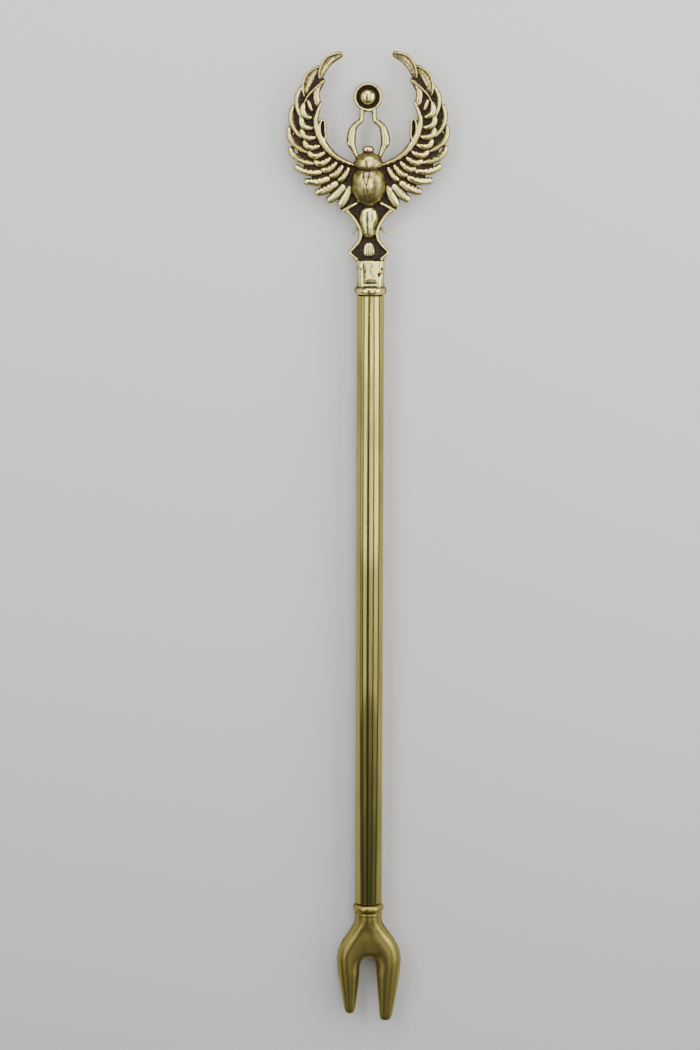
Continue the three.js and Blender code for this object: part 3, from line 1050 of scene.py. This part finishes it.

# %% [markdown]
# ## The hollow and shade attribute
#
# Depth, curve and flank are added up with a weight each. The flat plate counts as hollow.
# The flank term is painted shade: skin that faces sideways is given darker brass. The high
# domes get painted shade too, a darker brass where they rise highest on the figure.
# The attribute is stored before the skin is thinned, and Decimate carries it along.

# %% Hollow attribute
# The flank weight paints shade: skin that faces sideways is given darker brass.
DEPTH_WEIGHT, CURVE_WEIGHT, FLANK_SHADE_WEIGHT, BED_WEIGHT = 0.68, 0.42, 0.36, 0.5
CURVE_DEPTH = 0.16
BED_REACH = 0.8
# The dome weight paints shade: the high domes of the figure are given darker brass than the
# feathers.
DOME_LOW, DOME_HIGH, DOME_SHADE_WEIGHT = 2.5, 4.0, 0.2
DOME_START = 3


def mark_hollows_and_shade(thing, bed=None):
    """bed is the height of the flat plate, where one shows between the relief."""
    mesh = thing.data
    spots, facing = coordinates(mesh) / MM, normals(mesh)
    front = facing[:, 2] > 0
    depth = np.zeros(len(spots))
    depth[front] = below_ridges(spots[front], spots[front, 2])
    depth[~front] = below_ridges(spots[~front], -spots[~front, 2])
    curve = np.clip(inward_curve(mesh, spots, facing) / CURVE_DEPTH, -0.6, 1)
    # Painted shade: the more the skin faces sideways, the darker its brass.
    flank_shade = 1 - abs(facing[:, 2])
    hollow_and_shade = DEPTH_WEIGHT * depth + CURVE_WEIGHT * curve + FLANK_SHADE_WEIGHT * flank_shade
    if bed is not None:
        above = spots[front, 2] - bed
        hollow_and_shade[front] += BED_WEIGHT * np.clip(1 - above / BED_REACH, 0, 1)
        # Painted shade: the higher a dome of the figure rises, the darker its brass. The block is
        # left out.
        dome_shade = np.clip((above - DOME_LOW) / (DOME_HIGH - DOME_LOW), 0, 1)
        on_figure = spots[front, 1] > HEAD_JOINT + FIGURE_SEAT + DOME_START
        hollow_and_shade[front] += DOME_SHADE_WEIGHT * dome_shade * on_figure
    marks = mesh.attributes.new("hollow_and_shade", "FLOAT", "POINT")
    marks.data.foreach_set("value", np.clip(hollow_and_shade, 0, 1).astype(np.float32))
    return hollow_and_shade


hollow_and_shade = mark_hollows_and_shade(head, AXIS_HEIGHT + PLATE_FRONT)
print("hollow share of the head:", round(float((hollow_and_shade > 0.5).mean()), 2))
thin_out(head, MOST_TRIANGLES)
print("head:", len(head.data.polygons), "faces after thinning")

# %% [markdown]
# ## The prongs of the foot
#
# The foot starts as a round neck, flares smoothly to two shoulders and runs out in two
# blunt prongs. The right one is longer and fuller, as the caster left it. Each prong is a
# roll, whose middle, width and thickness all change from the neck's to the shoulder's and
# from there to the tip's.

# %% Prongs
FOOT = {
    "neck": 13.0,
    "neck_length": 10,
    "shoulder_width": 30.2,
    "shoulder_depth": 30,
    "slot_width": 7.4,
    "slot_top": 26,
    "prong": 11,
    "tip": 6,
}
LONG_PRONG = {"length": 58.4, "fullness": 1.4, "tip_width": 9.0, "tip_centre": 8.2}
SHORT_PRONG = {"length": 55, "fullness": 0, "tip_width": 7.2, "tip_centre": 8.7}
ROLL_IN_NECK = 0.76


def prong(side, length, fullness, tip_width, tip_centre):
    neck_width = ROLL_IN_NECK * FOOT["neck"]
    shoulder = (FOOT["shoulder_width"] - FOOT["slot_width"]) / 2 + JOINT_GAP + fullness

    def between(depth, neck, shoulder_value, tip):
        swing = ease(depth, 0.75 * FOOT["neck_length"], 0.92 * FOOT["shoulder_depth"])
        taper = ease(depth, 0.85 * FOOT["shoulder_depth"], length)
        return blend(blend(neck, shoulder_value, swing), tip, taper)

    def depth_at(t):
        return blend(FOOT_BEAD["width"] / 2, length, t)

    def path(t):
        start = (FOOT["neck"] - neck_width) / 2
        shoulder_centre = (FOOT["shoulder_width"] + fullness - shoulder) / 2
        out = between(depth_at(t), start, shoulder_centre, tip_centre)
        return Vector((side * out, -depth_at(t)))

    def width(t):
        return between(depth_at(t), neck_width, shoulder, tip_width)

    def half_thickness(t):
        return between(depth_at(t), FOOT["neck"], FOOT["prong"], FOOT["tip"]) / 2

    return roll(path, width, half_thickness, half_thickness, 0.3, sides=48, rings=64)


print("the right prong is", round(LONG_PRONG["length"] - SHORT_PRONG["length"], 1), "mm longer")

# %% [markdown]
# ## The wax of the foot
#
# A turned neck, the two prongs and a third roll for the crotch between them are put
# together. They are drawn from the joint downwards, as the foot is measured, and then
# moved to the lower end of the tube.

# %% Foot wax
# The neck's profile, as shares of its radius and of its length.
NECK_PROFILE = [(0, -1.7), (0.68, -1.5), (0.92, -1.2), (1, -0.8), (1, 0), (0, 0)]
CROTCH_WIDTHS = (0.9, 1.7)


def at_foot(bm):
    """Moves wax that is drawn down from the joint to its place, in metres."""
    home = Matrix.Scale(MM, 4) @ Matrix.Translation((0, FOOT_JOINT, AXIS_HEIGHT))
    bmesh.ops.transform(bm, matrix=home, verts=bm.verts)
    return bm


def foot_wax():
    crotch_end = FOOT["slot_top"] + 0.8 * FOOT["slot_width"]
    crotch = straight(Vector((0, -FOOT_BEAD["width"])), Vector((0, -crotch_end)))
    thickness = 0.5 * FOOT["prong"]

    def crotch_width(t):
        return FOOT["neck"] * blend(*CROTCH_WIDTHS, t)

    radius, length = FOOT["neck"] / 2, FOOT["neck_length"]
    neck = [(out * radius, along * length) for out, along in NECK_PROFILE]
    return together(
        [
            turned(neck),
            prong(-1, **SHORT_PRONG),
            prong(1, **LONG_PRONG),
            roll(crotch, crotch_width, thickness, thickness, sides=48, rings=40),
        ]
    )


prongs = as_object("prongs", at_foot(foot_wax()))
print("wax of the foot:", len(prongs.data.vertices), "points")

# %% [markdown]
# ## The slot
#
# The slot between the prongs has a round top and widens downwards. It could be left open
# between the rolls, but its edges would wander, so a cutter with the slot's outline is
# taken out of the remeshed foot by a Boolean. A second remesh then rounds its edges. It is
# coarser than the head's and smoothed for longer, because the real foot has no relief at
# all, only smooth flowing skin.

# %% Slot
SLOT_FLARE = 0.07
FOOT_GRAIN, FIRST_ROUNDS, FOOT_ROUNDS = 0.42, 2, 50


def slot_cutter():
    half = FOOT["slot_width"] / 2
    middle_of_arc = -FOOT["slot_top"] - half
    outline = [
        Vector((half * cos(turn), middle_of_arc + half * sin(turn)))
        for turn in np.linspace(0, pi, 25)
    ]
    bottom = -2 * LONG_PRONG["length"]
    wide = half + SLOT_FLARE * (middle_of_arc - bottom)
    outline += [Vector((-wide, bottom)), Vector((wide, bottom))]
    cutter = at_foot(web(outline, FOOT["neck"], FOOT["neck"]))
    return as_object("slot_cutter", cutter)


def cut_slot(thing):
    cutter = slot_cutter()
    cut = thing.modifiers.new("slot", "BOOLEAN")
    cut.operation = "DIFFERENCE"
    cut.object = cutter
    finish_modifiers(thing)
    bpy.data.objects.remove(cutter)


fuse(prongs, FOOT_GRAIN, FIRST_ROUNDS)
cut_slot(prongs)
fuse(prongs, FOOT_GRAIN, FOOT_ROUNDS)
print("skin of the prongs:", len(prongs.data.polygons), "faces")

# %% [markdown]
# ## The foot casting
#
# Between the shoulders the rolls leave creases that the real foot doesn't have, so the
# skin there, round the top of the slot, is smoothed once more on its own: a vertex group
# tells the Smooth modifier how much each point may move. The turned bead would lose its
# edge in all that smoothing, so it joins the foot last, in a finer remesh.

# %% Foot casting
# The saddle's limits are millimetres below the joint, and away from the middle.
SADDLE = {"from": (11, 17), "to": (31, 36), "across": (6, 12), "rounds": 220}
FOOT_SKIN, SKIN_ROUNDS = 0.3, 3
FOOT_COLLAR = 0.6


def soften_saddle(thing):
    """Smooths the skin between the prongs on its own, where the rolls leave creases."""
    group = thing.vertex_groups.new(name="saddle")
    for i, (x, y, _) in enumerate(coordinates(thing.data) / MM):
        depth = FOOT_JOINT - y
        along = ease(depth, *SADDLE["from"]) * (1 - ease(depth, *SADDLE["to"]))
        weight = along * (1 - ease(abs(x), *SADDLE["across"]))
        if weight > 0:
            group.add([i], weight, "REPLACE")
    soft = thing.modifiers.new("soft saddle", "SMOOTH")
    soft.factor = 0.5
    soft.iterations = SADDLE["rounds"]
    soft.vertex_group = group.name
    finish_modifiers(thing)


def with_bead(thing):
    """The smooth foot with the turned bead and spigot, as a new object."""
    body = bmesh.new()
    body.from_mesh(thing.data)
    bead = bead_on_spigot(FOOT_BEAD, FOOT["neck"] / 2 - FOOT_COLLAR)
    bmesh.ops.rotate(bead, verts=bead.verts, matrix=Matrix.Rotation(pi, 3, "Z"))
    both = together([body, at_foot(bead)])
    bpy.data.objects.remove(thing)
    return as_object("forked_foot_casting", both)


soften_saddle(prongs)
foot = fuse(with_bead(prongs), FOOT_SKIN, SKIN_ROUNDS)
cast_skin(foot, FOOT_LUMPS)
mark_hollows_and_shade(foot)
thin_out(foot, MOST_TRIANGLES)
print("foot:", len(foot.data.polygons), "faces")

# %% [markdown]
# ## The shaft
#
# The shaft is a drawn brass tube. A cylinder would have neither a wall nor the eased ends
# that a tube gets when its cut edges are cleaned, so the section of the wall, with its
# small bevels, is spun round the axis.

# %% Shaft
END_EASE = 0.25


def tube_wall():
    outer, inner = SHAFT_RADIUS, SHAFT_RADIUS - SHAFT_WALL
    low, high = FOOT_JOINT, HEAD_JOINT
    corners = [
        (inner + END_EASE, low),
        (outer - END_EASE, low),
        (outer, low + END_EASE),
        (outer, high - END_EASE),
        (outer - END_EASE, high),
        (inner + END_EASE, high),
        (inner, high - END_EASE),
        (inner, low + END_EASE),
        (inner + END_EASE, low),
    ]
    wall = turned(corners, 128)
    home = Matrix.Scale(MM, 4) @ Matrix.Translation((0, 0, AXIS_HEIGHT))
    bmesh.ops.transform(wall, matrix=home, verts=wall.verts)
    return wall


shaft = as_object("drawn_shaft", tube_wall())
shaft.data.shade_smooth()
print("shaft:", len(shaft.data.polygons), "faces,", round(HEAD_JOINT - FOOT_JOINT, 1), "mm long")

# %% [markdown]
# ## Sums in a material
#
# A finish is mostly arithmetic: this much patina where that mask is high. Adding Math nodes
# by hand hides the arithmetic, so a value on its way through a material is wrapped, and
# plus, minus, times and so on add the nodes. Everything else comes from one method.

# %% Material bench
class Amount:
    """A value in a material. Sums on it add Math nodes."""

    def __init__(self, bench, socket):
        self.bench, self.socket = bench, socket

    def __add__(self, other):
        return self.bench.maths("ADD", self, other)

    def __radd__(self, other):
        return self.bench.maths("ADD", other, self)

    def __sub__(self, other):
        return self.bench.maths("SUBTRACT", self, other)

    def __rsub__(self, other):
        return self.bench.maths("SUBTRACT", other, self)

    def __mul__(self, other):
        return self.bench.maths("MULTIPLY", self, other)

    def __rmul__(self, other):
        return self.bench.maths("MULTIPLY", other, self)


class Bench:
    """A material and the tools that add its nodes."""

    def __init__(self, name):
        self.material = bpy.data.materials.new(name)
        self.material.use_nodes = True
        self.tree = self.material.node_tree
        self.tree.nodes.clear()
        self.place = self.node("ShaderNodeTexCoord", output="Object")

    def node(self, kind, settings=None, sockets=None, output=0):
        made = self.tree.nodes.new(kind)
        for name, value in (settings or {}).items():
            setattr(made, name, value)
        for name, value in (sockets or {}).items():
            if isinstance(value, Amount):
                self.tree.links.new(value.socket, made.inputs[name])
            else:
                made.inputs[name].default_value = value
        return Amount(self, made.outputs[output]) if made.outputs else None

    def maths(self, operation, first, second):
        return self.node("ShaderNodeMath", {"operation": operation}, {0: first, 1: second})

    def step(self, value, low, high):
        """0 below low, 1 above high and a smooth rise between them."""
        return self.node(
            "ShaderNodeMapRange",
            {"interpolation_type": "SMOOTHSTEP"},
            {"Value": value, "From Min": low, "From Max": high},
        )

    def stretch(self, x, y, z):
        return self.node(
            "ShaderNodeVectorMath", {"operation": "MULTIPLY"}, {0: self.place, 1: (x, y, z)}
        )

    def grain(self, size, detail=3.0, place=None, roughness=0.5):
        """Noise whose patches are about size millimetres across."""
        return self.node(
            "ShaderNodeTexNoise",
            {},
            {
                "Vector": place or self.place,
                "Scale": 1 / (size * MM),
                "Detail": detail,
                "Roughness": roughness,
            },
        )

    def mix(self, share_of_second, first, second):
        return self.node(
            "ShaderNodeMix",
            {"data_type": "RGBA"},
            {0: share_of_second, 6: first, 7: second},
            output=2,
        )

    def bump(self, height, distance, under=None):
        sockets = {"Height": height, "Distance": distance * MM, "Strength": 1.0}
        if under:
            sockets["Normal"] = under
        return self.node("ShaderNodeBump", {}, sockets)

    def metal(self, **sockets):
        shader = self.node("ShaderNodeBsdfPrincipled", {}, sockets)
        self.node("ShaderNodeOutputMaterial", {}, {"Surface": shader})
        return self.material


sums = [name for name in vars(Amount) if name.strip("_") in ("add", "sub", "mul")]
print("sums on a value:", sums)

# %% [markdown]
# ## Cast brass
#
# The high relief is polished almost to a pale gold, and the hollows are nearly black with a
# purple-brown bloom. Between them lies a warmer yellow, on the sides of the relief and, as
# painted shade, on flanks that face sideways and on the high domes. One picture texture
# could hold all of this, but it would have to be painted. The hollow and shade attribute
# already knows where each finish and the painted shade belong, and noise breaks up the
# borders between them, as polish does.

# %% Cast brass
PALE_GOLD = (0.86, 0.75, 0.31, 1)
WARM_BRASS = (0.34, 0.29, 0.1, 1)
# Painted shade: the foot's bright brass is much darker than the head's, for the weaker light
# towards the foot.
SHADED_FOOT_GOLD = (0.36, 0.3, 0.085, 1)
OLD_BRASS = (0.15, 0.125, 0.042, 1)
EDGE_GOLD = (1.0, 0.92, 0.58, 1)
PATINA = (0.022, 0.012, 0.011, 1)
PATINA_BLOOM = (0.06, 0.035, 0.038, 1)
PATCHY, SPECKLED = 0.34, 0.16
GLOSS = 0.14


def cast_brass(name, wear, bright_colour, gloss_loss, roughcast):
    """More wear leaves less patina. roughcast is the height of the finest unevenness."""
    bench = Bench(name)
    hollow_and_shade = bench.node("ShaderNodeAttribute", {"attribute_name": "hollow_and_shade"}, output="Fac")
    patches = bench.grain(2.6, 4.0)
    specks = bench.grain(0.35, 3.0)
    # The attribute read here carries both the patina of the hollows and painted shade on flanks and
    # domes, so polish and patina below follow both.
    depth = hollow_and_shade + (patches - 0.5) * PATCHY + (specks - 0.5) * SPECKLED
    polish = 1 - bench.step(depth, wear, 0.3 + wear)
    patina = bench.step(depth, 0.32 + wear, 0.6 + wear)
    brass = bench.mix(bench.step(patches, 0.35, 0.7), WARM_BRASS, OLD_BRASS)
    bright = bench.mix(polish, brass, bright_colour)
    dark = bench.mix(bench.step(bench.grain(1.1, 2.0), 0.45, 0.75), PATINA, PATINA_BLOOM)
    colour = bench.mix(patina, bright, dark)
    scratches = bench.grain(0.5, 2.0, bench.stretch(0.25, 1.6, 1.0))
    dull = 0.14 * (1 - polish) + 0.4 * patina + 0.1 * bench.step(scratches, 0.4, 0.8)
    height = bench.grain(0.8, 4.0, roughness=0.6) + 0.25 * scratches
    return bench.metal(
        **{
            "Base Color": colour,
            "Metallic": 1 - 0.55 * patina,
            "Roughness": GLOSS + gloss_loss + dull,
            "Specular Tint": EDGE_GOLD,
            "Normal": bench.bump(height, roughcast),
        }
    )


head.data.materials.append(cast_brass("cast brass, buffed relief", 0.1, PALE_GOLD, 0, 0.045))
# The foot's bright colour is painted shade: a darker copy of the head's brass.
foot.data.materials.append(cast_brass("cast brass, smooth foot", 0.4, SHADED_FOOT_GOLD, GLOSS, 0.02))
print("the head's finish has", len(head.data.materials[0].node_tree.nodes), "nodes")

# %% [markdown]
# ## Drawn brass
#
# The tube is smoother and more even. Its light runs in long bands, so what shows is how
# straight they are: a slow waver from the drawing, fine scratches along the length, a
# little tarnish and a few dark specks. Noise that is stretched along Y makes the
# scratches, and its bump is only a few thousandths of a millimetre high.

# %% Drawn brass
TUBE_GOLD = (0.42, 0.37, 0.115, 1)
TUBE_TARNISH = (0.21, 0.175, 0.05, 1)
SPECK = (0.05, 0.03, 0.015, 1)
WAVER_HEIGHT, SCRATCH_HEIGHT = 0.05, 0.006


def drawn_brass():
    bench = Bench("drawn brass")
    clouds = bench.grain(14, 3.0, bench.stretch(1, 0.3, 1))
    fine = bench.grain(0.35, 3.0, bench.stretch(1, 0.02, 1))
    waver = bench.grain(6, 1.0, bench.stretch(1, 0.12, 1))
    spots = bench.step(bench.grain(1.4, 2.0), 0.72, 0.78)
    tarnish = bench.step(clouds, 0.42, 0.75) * 0.6 + bench.step(fine, 0.5, 0.8) * 0.25
    colour = bench.mix(spots * 0.7, bench.mix(tarnish, TUBE_GOLD, TUBE_TARNISH), SPECK)
    under = bench.bump(waver, WAVER_HEIGHT)
    return bench.metal(
        **{
            "Base Color": colour,
            "Metallic": 1.0,
            "Roughness": GLOSS + 0.12 * tarnish + 0.3 * spots,
            "Specular Tint": EDGE_GOLD,
            "Normal": bench.bump(fine, SCRATCH_HEIGHT, under),
        }
    )


shaft.data.materials.append(drawn_brass())
print("finishes:", [m.name for m in bpy.data.materials])

# %% [markdown]
# ## The pieces on the body
#
# Each piece rides on the sceptre's one body, and the solid that it stands for is hidden.

# %% Pieces
for piece, node, finish in (
    (head, "winged_scarab_head", "cast_brass"),
    (shaft, "shaft_tube", "drawn_brass"),
    (foot, "forked_foot", "cast_brass"),
):
    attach(piece, "root")
    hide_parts(node)
print("pieces:", [piece.name for piece in (head, shaft, foot)])

# %% [markdown] ## The floor  The sceptre lies on a plain pale floor.

# %% Floor
FLOOR_COLOUR = (0.7, 0.7, 0.7, 1)


def studio_floor():
    bm = bmesh.new()
    bmesh.ops.create_grid(bm, x_segments=1, y_segments=1, size=3)
    made = as_object("studio_floor", bm)
    bench = Bench("pale floor")
    made.data.materials.append(
        bench.metal(**{"Base Color": FLOOR_COLOUR, "Metallic": 0.0, "Roughness": 0.9})
    )
    return made


floor = studio_floor()
print("the floor is", round(floor.dimensions.x, 1), "m wide")

# %% [markdown]
# ## The light
#
# Polished brass shows its surroundings more than its own colour, so the light is a shape
# rather than a point. Four strips run along the sceptre on an arch above it: the tube
# shows each as a bright band, and the gaps between them as dark ones. Each strip is cut
# into six panels, which get weaker towards the foot, as the light does in the photograph.
# A box beyond the head leans towards it and lights the upper edges of the relief.

# %% Light
ARCH_RADIUS = 0.7
ROW_LENGTH = 0.36
FIRST_ROW = 0.5
ROW_GLOWS = (4.2, 3.2, 1.3, 0.36, 0.2, 0.16)
# Each strip's angle round the tube, the angle that it spans and its share of the glow.
STRIPS = [(-74, 20, 0.35), (-39, 28, 1.0), (12, 30, 0.75), (58, 38, 1.15)]
TOP_BOX = {"size": (0.9, 0.4), "place": (0, 0.86, 0.5), "glow": 4.5}
# The top box looks at the floor this far from the point below it.
TOP_BOX_AIM = 0.67
WORLD_GREY = 0.07


def soft_box(name, size, spot, glow):
    """A panel that looks down until it is turned. Glow is its brightness. The camera sees
    what it lights, and not the panel itself."""
    lamp = bpy.data.lights.new(name, "AREA")
    lamp.shape = "RECTANGLE"
    lamp.size, lamp.size_y = size
    lamp.energy = glow * pi * size[0] * size[1]
    made = bpy.data.objects.new(name, lamp)
    made.location = spot
    made.visible_camera = False
    bpy.context.scene.collection.objects.link(made)
    return made


for row, glow in enumerate(ROW_GLOWS):
    along = FIRST_ROW - row * ROW_LENGTH
    for angle, spread, part in STRIPS:
        turn = radians(angle)
        width = ARCH_RADIUS * radians(spread)
        spot = (ARCH_RADIUS * sin(turn), along, ARCH_RADIUS * cos(turn))
        strip = soft_box(f"strip {row} {angle}", (width, ROW_LENGTH), spot, glow * part)
        strip.rotation_euler = (0, turn, 0)

top_box = soft_box("top box", TOP_BOX["size"], TOP_BOX["place"], TOP_BOX["glow"])
top_box.rotation_euler = (-atan2(TOP_BOX_AIM, TOP_BOX["place"][2]), 0, 0)

world = bpy.data.worlds.new("dim studio")
world.use_nodes = True
background = world.node_tree.nodes["Background"]
background.inputs["Color"].default_value = (WORLD_GREY, WORLD_GREY, WORLD_GREY, 1)
bpy.context.scene.world = world
print("soft boxes:", len(ROW_GLOWS) * len(STRIPS) + 1)

# %% [markdown]
# ## The camera
#
# The photograph was taken from about 1.6 metres away, from over the head, so this camera
# stands there too.
# The curves of the beads give the tilt, and the tube, which looks narrower towards the
# foot, gives the distance. The lens's distance from the picture, in the photograph's own
# pixels, gives the focal length.

# %% Camera
CAMERA_PLACE = (-0.00995, 0.2623, 1.633)
CAMERA_PITCH = -8.8
CAMERA_ROLL = 0.16
PHOTO_HEIGHT = 1050
PIXELS_TO_LENS = 3508
SENSOR = 36

camera_data = bpy.data.cameras.new("camera")
camera_data.sensor_fit = "VERTICAL"
camera_data.sensor_height = SENSOR
camera_data.lens = PIXELS_TO_LENS * SENSOR / PHOTO_HEIGHT
camera = bpy.data.objects.new("camera", camera_data)
camera.location = CAMERA_PLACE
camera.rotation_euler = (radians(CAMERA_PITCH), 0, radians(CAMERA_ROLL))
bpy.context.scene.collection.objects.link(camera)
bpy.context.scene.camera = camera
print("the lens is", round(camera_data.lens), "mm long")
